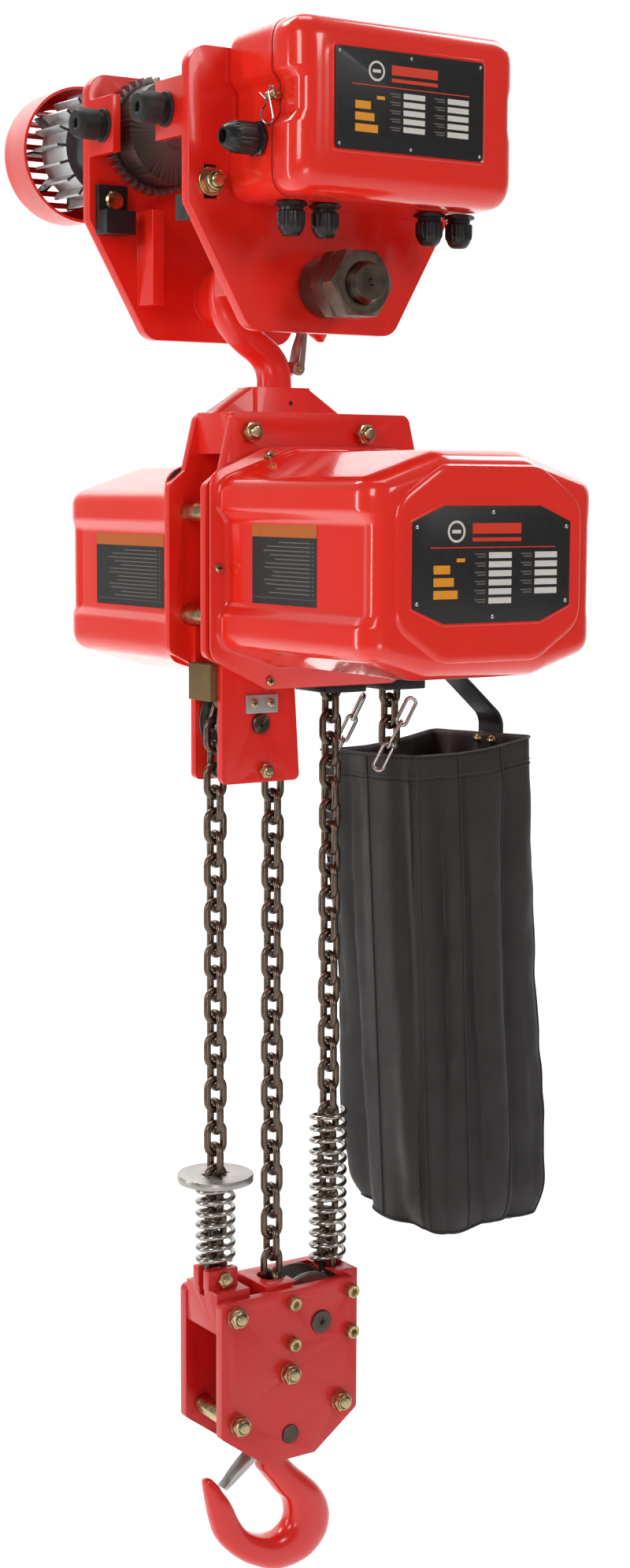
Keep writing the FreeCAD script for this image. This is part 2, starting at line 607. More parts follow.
def control_box():
    face = "side_gap_half + side_thick"
    shell = doc.addObject("PartDesign::Body", "control_box_shell")
    add_pad(shell, "shell_pad", box_outline("0"), "-(%s) - shell_depth" % face, "shell_depth")
    add_pocket(shell, "shell_pocket", box_outline("box_wall"), "-(%s) - shell_depth" % face,
               "shell_depth - box_wall")
    node("control_box_shell", shell)
    seam = "-(%s) - shell_depth - seal" % face
    seal = doc.addObject("PartDesign::Body", "control_box_seal")
    add_pad(seal, "seal_pad", box_outline("0.5"), seam, "seal", windows=[box_outline("box_wall + 2")])
    node("control_box_seal", seal)
    lid = doc.addObject("PartDesign::Body", "control_box_cover")
    add_pad(lid, "lid_pad", box_outline("0"), seam + " - lid_depth", "lid_depth")
    add_pocket(lid, "lid_pocket", box_outline("box_wall"), seam + " - lid_depth + box_wall",
               "lid_depth - box_wall")
    node("control_box_cover", lid)
    rail = box("device_rail", "box_mid - 90", "box_mid + 90", "-(%s) - 9" % face,
               "-(%s) - box_wall" % face, "30", "40")
    devices = [box("device_%d" % index, "box_mid + %d" % left, "box_mid + %d" % (left + 44),
                   "-(%s) - 62" % face, "-(%s) - 9" % face, "5", "75")
               for index, left in enumerate((-86, -38, 10))]
    devices.append(box("terminal_block", "box_mid + 58", "box_mid + 88", "-(%s) - 40" % face,
                       "-(%s) - 9" % face, "20", "50"))
    node("control_contactors", group("control_contactors", [rail] + devices))


def gland(name, x, y, z, axis, sign, flats, length):
    """A cable gland that points away from the box along sign * axis, with a clear bore."""
    def stretch(near, long):
        """The start of a piece that lies from near to near + long, outward."""
        offset = near if sign > 0 else "-(%s) - (%s)" % (near, long)
        return [x + " + " + offset, y, z] if axis == "X" else [x, y, z + " + " + offset]
    neck = "gland_collar"
    cap = "gland_collar + gland_neck"
    dome = cap + " + gland_nut"
    rest = "(%s) - (%s)" % (length, dome)
    pieces = [
        hexagon(name + "_base", flats, "gland_collar", *stretch("0", "gland_collar"), axis),
        cylinder(name + "_neck", "gland_neck_radius", "gland_neck + 1", *stretch(neck, "gland_neck + 1"), axis),
        hexagon(name + "_cap", flats, "gland_nut", *stretch(cap, "gland_nut"), axis),
    ]
    wide, narrow = "(%s) / 2" % flats, "gland_radius + 2"
    ends = (wide, narrow) if sign > 0 else (narrow, wide)
    pieces.append(cone(name + "_dome", *ends, rest, *stretch(dome, rest), axis))
    return holed(name, fuse(name + "_body", pieces), "gland_radius", length, *stretch("0", length), axis)


def cable_glands():
    y = "-(side_gap_half + side_thick + shell_depth - gland_inset)"
    places = ["-gland_first", "-gland_second", "gland_third", "gland_fourth"]
    glands = [gland("gland_%d" % index, x, y, "-box_low", "Z", -1, "gland_flats", "gland_length")
              for index, x in enumerate(places)]
    glands.append(gland("gland_side", "box_mid - box_half", y, "side_gland_height", "X", -1,
                        "side_gland_flats", "side_gland_length"))
    node("cable_glands", group("cable_glands", glands))


# ---- hooks ----

def outline_face(points):
    """A face in the XZ plane. A point alone ends a line, and a pair of points an arc's middle and end."""
    start = V(points[0][0], 0, points[0][1])
    here, edges = start, []
    for step in points[1:]:
        if len(step) == 2 and isinstance(step[0], tuple):
            middle, end = (V(x, 0, z) for x, z in step)
            edges.append(Part.Arc(here, middle, end).toShape())
        else:
            end = V(step[0], 0, step[1])
            edges.append(Part.makeLine(here, end))
        here = end
    edges.append(Part.makeLine(here, start))
    return Part.Face(Part.Wire(edges))


def slab(points, half):
    """An outline in the XZ plane, half on each side of y = 0."""
    face = outline_face(points)
    face.translate(V(0, -half, 0))
    return face.extrude(V(0, 2 * half, 0))


def lug_and_pin(x, z, inward):
    """The lug that a latch straddles and the pin through it. inward is the neck's direction in X."""
    half, radius = size("lug_half"), size("latch_eye_radius")
    lug = Part.makeCylinder(radius - 0.5, 2 * half, V(x, -half, z), V(0, 1, 0))
    web = Part.makeBox(14, 2 * half, 2 * radius - 1, V(min(x, x + 14 * inward), -half, z - radius + 0.5))
    reach = half + size("latch_cheek + gap") + 0.6
    pin = Part.makeCylinder(size("latch_pin_radius"), 2 * reach, V(x, -reach, z), V(0, 1, 0))
    return lug.fuse([web, pin])


def latch_shape(x, z, end_x, end_z, length):
    """A latch from its pivot towards an end: two cheeks about the pin and a bent tongue."""
    direction = V(end_x - x, 0, end_z - z).normalize()
    half, cheek, eye = size("lug_half + gap"), size("latch_cheek"), size("latch_eye_radius")
    thick = size("latch_thick")
    tongue_start = eye + 1.5
    tongue = Part.makeBox(length - tongue_start, 2 * (half + cheek), thick,
                          V(tongue_start, -(half + cheek), -thick / 2))
    pieces = [tongue]
    for side in (-1, 1):
        near = half if side > 0 else -half - cheek
        ear = Part.makeCylinder(eye, cheek, V(0, near, 0), V(0, 1, 0))
        arm = Part.makeBox(tongue_start + 4, cheek, 2 * eye - 3, V(0, near, -eye + 1.5))
        hole = Part.makeCylinder(size("latch_pin_radius + fit"), cheek, V(0, near, 0), V(0, 1, 0))
        pieces.append(ear.fuse(arm).cut(hole))
    latch = pieces[0].fuse(pieces[1:])
    angle = -math.degrees(math.atan2(direction.z, direction.x))
    latch.rotate(V(), V(0, 1, 0), angle)
    latch.translate(V(x, 0, z))
    return latch


def top_hook():
    """The suspension hook: its bowl hangs over the shaft, its shank turns in the yoke."""
    shank_x, radius = size("swivel_x"), size("shank_radius")
    neck, drop = -size("neck_drop"), -size("shaft_drop")
    bowl = drop - 6
    side = radius - 1.5
    points = [
        (shank_x + side, neck), (shank_x + radius - 3, neck + 16),
        ((4, neck + 38), (-15, bowl - 21)),
        ((2, bowl + 27), (28, bowl - 8)),
        (46, bowl - 25), (51, bowl - 32),
        ((59, bowl - 36), (65, bowl - 31)),
        ((3, bowl + 59), (-51, bowl - 20)),
        ((-30, neck + 31), (-8, neck + 17)), (shank_x - side, neck),
    ]
    body = slab(points, size("hook_half"))
    foot = -size("shank_low") + 2
    shank = Part.makeCylinder(radius, neck + 4 - foot, V(shank_x, 0, foot))
    collar = Part.makeCylinder(size("hook_collar_radius"), size("hook_collar"), V(shank_x, 0, foot))
    x, z = size("top_latch_x"), -size("top_latch_drop")
    whole = body.fuse([shank, collar, lug_and_pin(x, z, -1)])
    node("top_hook", feature("top_hook", whole))
    latch = latch_shape(x, z, x + 10, z + 38, size("top_latch_length"))
    node("top_latch", feature("top_latch", latch))


def lower_hook():
    """The load hook: a deep bowl, thick at the back, with its shank in the trunnion."""
    origin_x, origin_z = size("block_mid"), -size("lower_origin")
    radius, neck = size("lower_shank_radius"), -size("lower_neck") + size("lower_origin")
    side = radius - 1.5
    points = [
        (-side, neck), (-side, -13), (15, -51),
        ((20.5, -68), (-4, -83.5)),
        ((-27, -71.5), (-42, -46)),
        (-53, -28), (-61, -16),
        ((-66, -9.5), (-74.5, -12)), (-71.5, -32),
        ((-51, -86), (4, -119.5)),
        ((64, -98), (58, -53)), (28, -20),
        ((19, -8), (side, neck)),
    ]
    body = slab(points, size("lower_hook_half"))
    body.translate(V(origin_x, 0, origin_z))
    top = -size("hook_pin_drop") + size("trunnion_height") / 2 + size("gap")
    shank_top = top + size("lower_nut")
    shank = Part.makeCylinder(radius, shank_top + size("lower_neck") + 6,
                              V(origin_x, 0, -size("lower_neck") - 6))
    head = Part.makeCylinder(size("lower_nut_radius"), size("lower_nut"), V(origin_x, 0, top))
    x, z = -size("latch_x"), -size("latch_drop")
    whole = body.fuse([shank, head, lug_and_pin(x, z, 1)])
    node("lower_hook", feature("lower_hook", whole))
    latch = latch_shape(x, z, x - 37, z - 34, size("latch_length"))
    node("lower_latch", feature("lower_latch", latch))
    pin = size("hook_pin_radius")
    deep, half, high = size("trunnion_deep"), size("trunnion_half"), size("trunnion_height")
    reach = size("block_gap_half + block_thick") + 1
    middle = -size("hook_pin_drop")
    block = Part.makeBox(2 * half, 2 * deep, high, V(origin_x - half, -deep, middle - high / 2))
    pins = Part.makeCylinder(pin, 2 * reach, V(origin_x, -reach, middle), V(0, 1, 0))
    bore = Part.makeCylinder(radius + size("fit"), high, V(origin_x, 0, middle - high / 2))
    node("hook_trunnion", feature("hook_trunnion", block.fuse(pins).cut(bore)))


# ---- yoke, frame and covers ----

def hook_yoke():
    """The cross-head between the frame plates, with a ridge up to the boss around the shank."""
    gap = "frame_gap_half"
    bar = box("yoke_bar", "-yoke_left", "yoke_right", "-" + gap, gap, "-yoke_low", "-yoke_top")
    ridge = plate("yoke_ridge", [("swivel_x - ridge_low_half", "-yoke_top - 1"),
                                 ("swivel_x + ridge_low_half", "-yoke_top - 1"),
                                 ("swivel_x + ridge_top_half", "-ridge_top"),
                                 ("swivel_x - ridge_top_half", "-ridge_top")],
                  "-ridge_half", "2 * ridge_half")
    boss = box("yoke_boss", "swivel_x - boss_half", "swivel_x + boss_half", "-boss_deep", "boss_deep",
               "-yoke_top - 1", "-ridge_top")
    tools = [cylinder("yoke_bore", "shank_radius + fit", "yoke_low - ridge_top", "swivel_x", "0",
                      "-yoke_low", "Z"),
             cylinder("yoke_pocket", "nut_pocket_radius", "nut_pocket", "swivel_x", "0",
                      "-yoke_low", "Z")]
    for index, x in enumerate(("-yoke_bolt_left", "yoke_bolt_right")):
        tools.append(cylinder("yoke_hole_%d" % index, "tie_radius + fit", "2 * " + gap, x, "-" + gap,
                              "-yoke_bolt_drop"))
    node("hook_yoke", cut("hook_yoke", fuse("yoke_solid", [bar, ridge, boss]), tools))


RIGHT_TIE = "sheave_x + load_pitch_radius + link_width / 2 + tube_radius + 1"
TIES = [(x, "-" + drop) for x in ("frame_mid - tie_place", RIGHT_TIE) for drop in ("tie_high", "tie_low")]
MOTOR_X = "(sheave_x - load_module * (load_teeth + lay_pinion_teeth) / 2" \
          " - lay_module * (lay_teeth + motor_pinion_teeth) / 2)"
LAY_X = "(sheave_x - load_module * (load_teeth + lay_pinion_teeth) / 2)"
BRACKET_TIES = [("-bracket_left + 14", "-bracket_top - 26"), ("bracket_right - 24", "-bracket_top - 26")]


def frame_plate(name, sign):
    start = "frame_gap_half" if sign > 0 else "-(frame_gap_half + frame_thick)"
    left, right = "frame_mid - frame_half", "frame_mid + frame_half"
    outline = [("-lug_left", "-yoke_top"), ("-lug_left - lug_flare", "-frame_shoulder"),
               (left, "-frame_side_top"), (left, "-frame_side_low"),
               ("frame_mid - frame_low_half", "-frame_low"), ("frame_mid + frame_low_half", "-frame_low"),
               (right, "-frame_side_low"), (right, "-frame_side_top"),
               ("lug_right + lug_flare", "-frame_shoulder"), ("lug_right", "-yoke_top")]
    holes = [(x, z, "tie_radius + fit") for x, z in TIES]
    holes += [(x, z, "bracket_bolt_radius + fit") for x, z in BRACKET_TIES]
    holes += [(x, "-yoke_bolt_drop", "tie_radius + fit") for x in ("-yoke_bolt_left", "yoke_bolt_right")]
    holes += [("sheave_x", "-sheave_drop", "load_shaft_radius + fit"),
              (MOTOR_X, "-sheave_drop", "motor_shaft_radius + fit")]
    if sign < 0:
        holes.append((LAY_X, "-sheave_drop", "lay_shaft_radius + fit"))
    corners = [outline[index] for index in (0, 2, 3, 6, 7, 9)]
    node(name, plate(name, outline, start, "frame_thick", holes, corners=corners, radius="9"))


def frame_tie_bolts():
    """Tubes and bolts that hold the frame plates apart, and the two bolts through the yoke."""
    gap, face = "frame_gap_half", "frame_gap_half + frame_thick"
    pieces = []
    for index, (x, z) in enumerate(TIES):
        tube = cylinder("tie_tube_%d_solid" % index, "tube_radius", "2 * " + gap, x, "-" + gap, z)
        pieces.append(holed("tie_tube_%d" % index, tube, "tie_radius + fit", "2 * " + gap, x, "-" + gap, z))
        pieces.append(cylinder("tie_bolt_%d" % index, "tie_radius", "2 * (%s)" % face, x,
                               "-(%s)" % face, z))
    for index, (x, z) in enumerate(BRACKET_TIES):
        pieces.append(cylinder("bracket_tie_%d" % index, "bracket_bolt_radius", "2 * (%s)" % face, x,
                               "-(%s)" % face, z))
    reach = face + " + lock_nut + 2"
    for index, x in enumerate(("-yoke_bolt_left", "yoke_bolt_right")):
        rod = cylinder("yoke_rod_%d" % index, "tie_radius", "2 * (%s)" % reach, x, "-(%s)" % reach,
                       "-yoke_bolt_drop")
        ends = [hexagon("yoke_nut_%d_%d" % (index, end), "lock_nut_flats", "lock_nut", x, start,
                        "-yoke_bolt_drop")
                for end, start in enumerate((face, "-(%s) - lock_nut" % face))]
        pieces.append(fuse("yoke_bolt_%d" % index, [rod] + ends))
    node("frame_tie_bolts", group("frame_tie_bolts", pieces))


def flange_outline(inset):
    left, right = "frame_mid - flange_half + %s" % inset, "frame_mid + flange_half - %s" % inset
    return [("frame_mid - flange_top_half", "-flange_top - %s" % inset),
            (left, "-flange_side_top - %s" % inset), (left, "-flange_side_low + %s" % inset),
            ("frame_mid - flange_low_half", "-frame_low + %s" % inset),
            ("frame_mid + flange_low_half", "-frame_low + %s" % inset),
            (right, "-flange_side_low + %s" % inset), (right, "-flange_side_top - %s" % inset),
            ("frame_mid + flange_top_half", "-flange_top - %s" % inset)]


def cover_outline(inset, rear):
    """A cover from the front: a wide octagon with a sunk band along each side. The rear one sits lower."""
    fall = " - rear_fall" if rear else ""
    side_low, bevel_low, low, low_half = [("rear_" if rear else "cover_") + label
                                          for label in ("side_low", "bevel_low", "low", "low_half")]
    half = [("cover_top_half", "-cover_top%s - %s" % (fall, inset)),
            ("cover_bevel_half - %s" % inset, "-cover_bevel_top" + fall),
            ("cover_half - %s" % inset, "-cover_side_top" + fall),
            ("cover_half - %s" % inset, "-band_top + band_ramp" + fall),
            ("cover_half - band_depth - %s" % inset, "-band_top" + fall),
            ("cover_half - band_depth - %s" % inset, "-band_low" + fall),
            ("cover_half - %s" % inset, "-band_low - band_ramp" + fall),
            ("cover_half - %s" % inset, "-" + side_low),
            ("cover_bevel_half - %s" % inset, "-" + bevel_low),
            (low_half, "-%s + %s" % (low, inset))]
    east = [("frame_mid + (%s)" % x, z) for x, z in half]
    west = [("frame_mid - (%s)" % x, z) for x, z in reversed(half)]
    return east + west


SCREWS = [("frame_mid %s %s" % (sign, x), z) for sign in ("-", "+")
          for x, z in (("69", "-flange_top - 7.5"), ("(flange_half - 8)", "-sheave_drop"),
                       ("67", "-frame_low + 7.5"))]


def covers():
    """A gasket, a flanged cover and its screws on each side of the frame."""
    face = "frame_gap_half + frame_thick"
    gaskets, screws = [], []
    for name, sign, depth in (("front_cover", -1, "front_depth"), ("rear_cover", 1, "rear_depth")):
        def span(near, long):
            return near if sign > 0 else "-(%s) - (%s)" % (near, long)
        ring = doc.addObject("PartDesign::Body", name + "_gasket")
        holes = [(x, z, "screw_radius + gap") for x, z in SCREWS]
        add_pad(ring, name + "_gasket_pad", flange_outline("1.5"), span(face, "gasket"), "gasket",
                holes, [flange_outline("17")])
        gaskets.append(ring)
        cover = doc.addObject("PartDesign::Body", name)
        seat = face + " + gasket"
        add_pad(cover, name + "_flange", flange_outline("0"), span(seat, "flange"), "flange", holes)
        wall_start = seat + " + flange"
        add_pad(cover, name + "_wall", cover_outline("0", sign > 0), span(wall_start, depth + " - flange"),
                depth + " - flange")
        hollow = "(%s) - cover_wall" % depth
        far = seat if sign < 0 else seat + " + " + hollow
        add_pocket(cover, name + "_hollow", cover_outline("cover_wall", sign > 0),
                   "-(%s) - (%s)" % (seat, hollow) if sign < 0 else seat, hollow)
        node(name, cover)
        top = seat + " + flange"
        for index, (x, z) in enumerate(SCREWS):
            label = "%s_screw_%d" % (name, index)
            head = cylinder(label + "_head", "screw_head_radius", "screw_head", x,
                            span(top, "screw_head"), z)
            rod = cylinder(label + "_rod", "screw_radius", "flange + gasket", x,
                           span(face, "flange + gasket"), z)
            screws.append(fuse(label, [head, rod]))
    node("cover_gaskets", group("cover_gaskets", gaskets))
    node("cover_screws", group("cover_screws", screws))


# ---- drive ----

def sheave_shape(pitch_radius, flange):
    """A chain wheel about +Z, centred on z = 0: flanges, seats for upright links, a slot for flat ones."""
    apothem = math.sqrt(pitch_radius ** 2 - (size("pitch") / 2) ** 2)
    seat = apothem - size("wire") / 2 - size("chain_gap")
    slot = apothem - size("link_width") / 2 - size("chain_gap")
    half, groove, narrow = size("sheave_half"), size("groove_half"), size("slot_half")
    profile = [(0, -half), (flange - 2, -half), (flange, -half + 2), (flange, -groove - 1.5),
               (seat, -groove), (seat, -narrow), (slot, -narrow), (slot, narrow), (seat, narrow),
               (seat, groove), (flange, groove + 1.5), (flange, half - 2), (flange - 2, half), (0, half)]
    wire = Part.makePolygon([V(r, 0, z) for r, z in profile + profile[:1]])
    return Part.Face(wire).revolve(V(), V(0, 0, 1), 360)


def load_train():
    """Load wheel with its shaft and gear, the layshaft and the motor's rotor, all in mesh."""
    drop = -size("sheave_drop")
    face = size("frame_gap_half + frame_thick")
    gear_start = -face - 13 - 14
    load = sheave_shape(size("load_pitch_radius"), size("wheel_flange_radius"))
    shaft = Part.makeCylinder(size("load_shaft_radius"), size("frame_gap_half") + face - gear_start + 2,
                              V(0, 0, gear_start - 2))
    gear = gear_shape(int(size("load_teeth")), size("load_module"), 14, 180)
    gear.translate(V(0, 0, gear_start))
    node("load_sheave", feature("load_sheave",
         along_y(load.fuse([shaft, gear]), size("sheave_x"), 0, drop)))
    teeth = int(size("lay_pinion_teeth"))
    pinion = gear_shape(teeth, size("load_module"), 16, 180.0 / teeth)
    pinion.translate(V(0, 0, gear_start - 1))
    wheel_start = gear_start - 13
    wheel = gear_shape(int(size("lay_teeth")), size("lay_module"), 8, 180)
    wheel.translate(V(0, 0, wheel_start))
    lay = Part.makeCylinder(size("lay_shaft_radius"),
                            -face + size("frame_thick") - wheel_start + 1 + size("stub"),
                            V(0, 0, wheel_start - 1 - size("stub")))
    node("layshaft_gear", feature("layshaft_gear",
         along_y(pinion.fuse([wheel, lay]), size(LAY_X), 0, drop)))
    teeth = int(size("motor_pinion_teeth"))
    drive = gear_shape(teeth, size("lay_module"), 10, 180.0 / teeth)
    drive.translate(V(0, 0, wheel_start - 1))
    disc, clutch = size("clutch_disc"), size("clutch_radius")
    driven_start = -size("clutch_start") - 2 * disc - size("gap")
    driven = Part.makeCylinder(clutch, disc, V(0, 0, driven_start))
    stub = Part.makeCylinder(size("stub_radius"), driven_start - wheel_start + 1 + size("stub"),
                             V(0, 0, wheel_start - 1 - size("stub")))
    node("clutch_pinion", feature("clutch_pinion",
         along_y(drive.fuse([driven, stub]), size(MOTOR_X), 0, drop)))
    rotor_start = size("rotor_start")
    rotor = Part.makeCylinder(size("rotor_radius"), size("rotor_length"), V(0, 0, rotor_start))
    fan_start = size("frame_gap_half + frame_thick + motor_flange + stator_length + brake") + 8
    fan = Part.makeCylinder(size("fan_radius"), size("fan"), V(0, 0, fan_start))
    axle = Part.makeCylinder(size("motor_shaft_radius"), fan_start + size("clutch_start") + 5,
                             V(0, 0, -size("clutch_start")))
    driver = Part.makeCylinder(clutch, disc, V(0, 0, -size("clutch_start") - disc))
    node("motor_rotor", feature("motor_rotor",
         along_y(rotor.fuse([fan, axle, driver]), size(MOTOR_X), 0, drop)))


def motor_stator():
    """The motor's shell and windings round the rotor, with the brake's coil ring behind it."""
    face = size("frame_gap_half + frame_thick")
    flange, length = size("motor_flange"), size("stator_length")
    shell = ring_shape(size("stator_radius"), size("rotor_radius + air_gap"), length, face + flange)
    front = ring_shape(size("stator_radius") + 4, size("motor_shaft_radius") + 1, flange, face)
    back_start = face + flange + length
    back = ring_shape(size("stator_radius"), size("motor_shaft_radius") + 1, 6, back_start)
    brake = ring_shape(size("brake_radius"), size("motor_shaft_radius") + 2, size("brake") - 8,
                       back_start + 6)
    whole = shell.fuse([front, back, brake])
    node("motor_stator", feature("motor_stator",
         along_y(whole, size(MOTOR_X), 0, -size("sheave_drop"))))


def gearbox_case():
    """A cup over the gears, open towards the frame plate."""
    face = "frame_gap_half + frame_thick"
    big = "load_module * load_teeth / 2 + 2 * load_module + train_margin"
    left = MOTOR_X + " - 14 - train_end"
    right = "sheave_x + " + big
    low, high = "-sheave_drop - (%s)" % big, "-sheave_drop + " + big
    case = doc.addObject("PartDesign::Body", "gearbox_cup")
    start = "-(%s) - train_depth" % face
    add_pad(case, "case_pad", rectangle(left, right, low, high), start, "train_depth",)
    add_pocket(case, "case_pocket", rectangle(left + " + train_wall", right + " - train_wall",
                                              low + " + train_wall", high + " - train_wall"),
               start + " + train_wall", "train_depth - train_wall")
    bores = [cylinder("case_bore_" + label, radius + " + fit", "train_wall", x, start, "-sheave_drop")
             for label, radius, x in (("lay", "lay_shaft_radius", LAY_X),
                                      ("stub", "stub_radius", MOTOR_X))]
    node("gearbox_case", cut("gearbox_case", case, bores))
    panel_y = "-(%s) - panel_start" % face
    panel = box("panel_sheet", "frame_mid - 95", "frame_mid + 95", panel_y, panel_y + " + panel_thick",
                "-cover_side_low", "-cover_side_top")
    posts = [box("panel_post_%d_%d" % (x, z), "%s + %d" % (left, x), "%s + %d" % (left, x + 10),
                 panel_y + " + panel_thick", start, "%s + %d" % (low, z), "%s + %d" % (low, z + 10))
             for x in (4, 150) for z in (4, 80)]
    devices = [box("panel_device_%d" % index, "frame_mid + %d" % x, "frame_mid + %d" % (x + 50),
                   panel_y + " - %d" % deep, panel_y, "-cover_side_low + 12", "-cover_side_top - 14")
               for index, (x, deep) in enumerate(((-86, 70), (-24, 55), (38, 82)))]
    node("electrics_panel", group("electrics_panel", [fuse("panel_frame", [panel] + posts)] + devices))


# ---- lower bracket ----

def lower_bracket():
    gap = "bracket_gap_half"
    thick = "frame_gap_half - bracket_gap_half"
    outline = [("-bracket_left", "-bracket_low"), ("bracket_right", "-bracket_low"),
               ("bracket_right - bracket_taper", "-bracket_top"), ("-bracket_left", "-bracket_top")]
    holes = [("-idler_x", "-idler_drop", "idler_axle_radius + fit"),
             ("-bracket_bolt_x", "-bracket_bolt_drop", "bracket_bolt_radius + fit")]
    holes += [(x, z, "bracket_bolt_radius + fit") for x, z in BRACKET_TIES]
    sides = [plate("bracket_%s" % label, outline, start, thick, holes,
                   corners=outline[:2], radius="6")
             for label, start in (("front", "-frame_gap_half"), ("rear", gap))]
    node("lower_bracket", group("lower_bracket", sides))
    reach = "frame_gap_half + idler_head"
    axle = cylinder("idler_axle_rod", "idler_axle_radius", "2 * (%s)" % reach, "-idler_x",
                    "-(%s)" % reach, "-idler_drop")
    keeper = box("axle_keeper", "-idler_x - keeper_half", "-idler_x + keeper_half",
                 "-frame_gap_half - keeper_thick", "-frame_gap_half", "-keeper_low", "-keeper_high")
    far = "frame_gap_half + bracket_nut + 1.5"
    bolt = cylinder("bracket_bolt_rod", "bracket_bolt_radius", "2 * (%s)" % far, "-bracket_bolt_x",
                    "-(%s)" % far, "-bracket_bolt_drop")
    nuts = [hexagon("bracket_nut_%d" % index, "bracket_nut_flats", "bracket_nut", "-bracket_bolt_x",
                    start, "-bracket_bolt_drop")
            for index, start in enumerate(("frame_gap_half", "-frame_gap_half - bracket_nut"))]
    node("idler_axle", group("idler_axle", [axle, keeper, fuse("bracket_bolt", [bolt] + nuts)]))
    idler = sheave_shape(size("idler_pitch_radius"), size("idler_flange_radius"))
    idler = idler.cut(Part.makeCylinder(size("idler_axle_radius + fit"), 60, V(0, 0, -30)))
    node("idler_sheave", feature("idler_sheave",
         along_y(idler, -size("idler_x"), 0, -size("idler_drop"))))


def chain_guides():
    """The cast guide above the idler, and a plate with a round hole under each upper chain fall."""
    entry = box("entry_block", "-entry_left", "-entry_right", "-bracket_gap_half + gap",
                "bracket_gap_half - gap", "-entry_low", "-entry_high")
    sweep = cylinder("entry_sweep", "idler_pitch_radius + link_width / 2 + 3", "2 * bracket_gap_half",
                     "-idler_x", "-bracket_gap_half", "-idler_drop")
    pieces = [cut("entry_guide", entry, [sweep])]
    for index, x in enumerate(("sheave_x - load_pitch_radius", "sheave_x + load_pitch_radius")):
        body = box("fall_guide_%d_plate" % index, x + " - guide_half", x + " + guide_half",
                   "-frame_gap_half + gap", "frame_gap_half - gap", "-guide_low", "-guide_top")
        pieces.append(holed("fall_guide_%d" % index, body, "guide_hole", "guide_low - guide_top", x, "0",
                            "-guide_low", "Z"))
    node("chain_guides", group("chain_guides", pieces))


# ---- chains ----

def link_shape(wire, length, width):
    """One welded link in the XZ plane, its long way along Z, centred on the origin."""
    bend = (width - wire) / 2
    straight = length / 2 - width / 2
    pieces = []
    for side in (-1, 1):
        bar = Part.makeCylinder(wire / 2, 2 * straight, V(side * bend, 0, -straight))
        turn = Part.makeTorus(bend, wire / 2, V(0, 0, side * straight), V(0, 1, 0))
        clip = Part.makeBox(2 * width, 2 * wire, width,
                            V(-width, -wire, straight if side > 0 else -straight - width))
        pieces += [bar, turn.common(clip)]
    return pieces[0].fuse(pieces[1:]).removeSplitter()


def run_of_links(joints, link, roll=0):
    """Links between successive joints, each turned a quarter against the one before."""
    links = []
    for index, (near, far) in enumerate(zip(joints, joints[1:])):
        copy = link.copy()
        if (index + roll) % 2:
            copy.rotate(V(), V(0, 0, 1), 90)
        along = (far - near).normalize()
        turn = FreeCAD.Rotation(V(0, 0, 1), along)
        if abs(along.y) < 1e-6:
            turn = FreeCAD.Rotation(V(0, 1, 0), math.degrees(math.atan2(along.x, along.z)))
        copy.Placement = FreeCAD.Placement((near + far) * 0.5, turn).multiply(copy.Placement)
        links.append(copy)
    return links


def walk(path, pitch, start=0.0):
    """Joints along a path function of length, each one pitch from the last in a straight line."""
    joints = [path(start)]
    at, step = start, 0.25
    while True:
        ahead = at + 0.8 * pitch
        while path(ahead) is not None and (path(ahead) - joints[-1]).Length < pitch:
            ahead += step
        if path(ahead) is None:
            return joints
        low, high = ahead - step, ahead
        for _ in range(30):
            middle = (low + high) / 2
            if (path(middle) - joints[-1]).Length < pitch:
                low = middle
            else:
                high = middle
        at = high
        joints.append(path(at))


def load_path():
    """The load chain's middle line: anchor, idler, hook block, load wheel, then down into the bag."""
    anchor_x = -size("idler_x + idler_pitch_radius")
    middle_x = -size("idler_x - idler_pitch_radius")
    right_x = size("block_sheave_x + block_pitch_radius")
    slack_x = size("sheave_x + load_pitch_radius")
    idler, block, load = -size("idler_drop"), -size("block_sheave_drop"), -size("sheave_drop")
    heap_x, heap_y, heap_z = size("(bag_low_left + bag_low_right) / 2"), 0, -size("bag_low") + 16
    loop, layer = 46.0, 27.0
    bag_mouth = -size("bag_top") - 70
    first = -size("anchor_drop") - size("pitch") / 2 + size("anchor_bolt_radius") + 2.6

    def straight(x_from, z_from, x_to, z_to):
        begin, finish = V(x_from, 0, z_from), V(x_to, 0, z_to)
        return (finish - begin).Length, lambda s: begin + (finish - begin).normalize() * s

    def bend(x, z, radius, over):
        turn = 1 if over else -1
        return math.pi * radius, lambda s: V(x - radius * math.cos(s / radius), 0,
                                             z + turn * radius * math.sin(s / radius))

    drop = bag_mouth - (heap_z + 1.6 * layer)
    lean = heap_x - loop - slack_x

    def settle(s):
        share = min(max(s / drop, 0), 1)
        return V(slack_x + lean * (share ** 2) * (3 - 2 * share), 0, bag_mouth - s)

    turns = 1.25

    def coil(s):
        angle = s / loop
        share = angle / (2 * math.pi * turns)
        return V(heap_x - loop * math.cos(angle), heap_y - loop * math.sin(angle),
                 heap_z + 1.6 * layer * (1 - min(1, share * 1.35)) ** 2)

    pieces = [straight(anchor_x, first, anchor_x, idler),
              bend(-size("idler_x"), idler, size("idler_pitch_radius"), True),
              straight(middle_x, idler, middle_x, block),
              bend(size("block_sheave_x"), block, size("block_pitch_radius"), False),
              straight(right_x, block, right_x, load),
              bend(size("sheave_x"), load, size("load_pitch_radius"), True),
              straight(slack_x, load, slack_x, bag_mouth),
              (drop, settle), (2 * math.pi * turns * loop, coil)]

    def path(s):
        for length, piece in pieces:
            if s <= length:
                return piece(s)
            s -= length
        return None
    return path


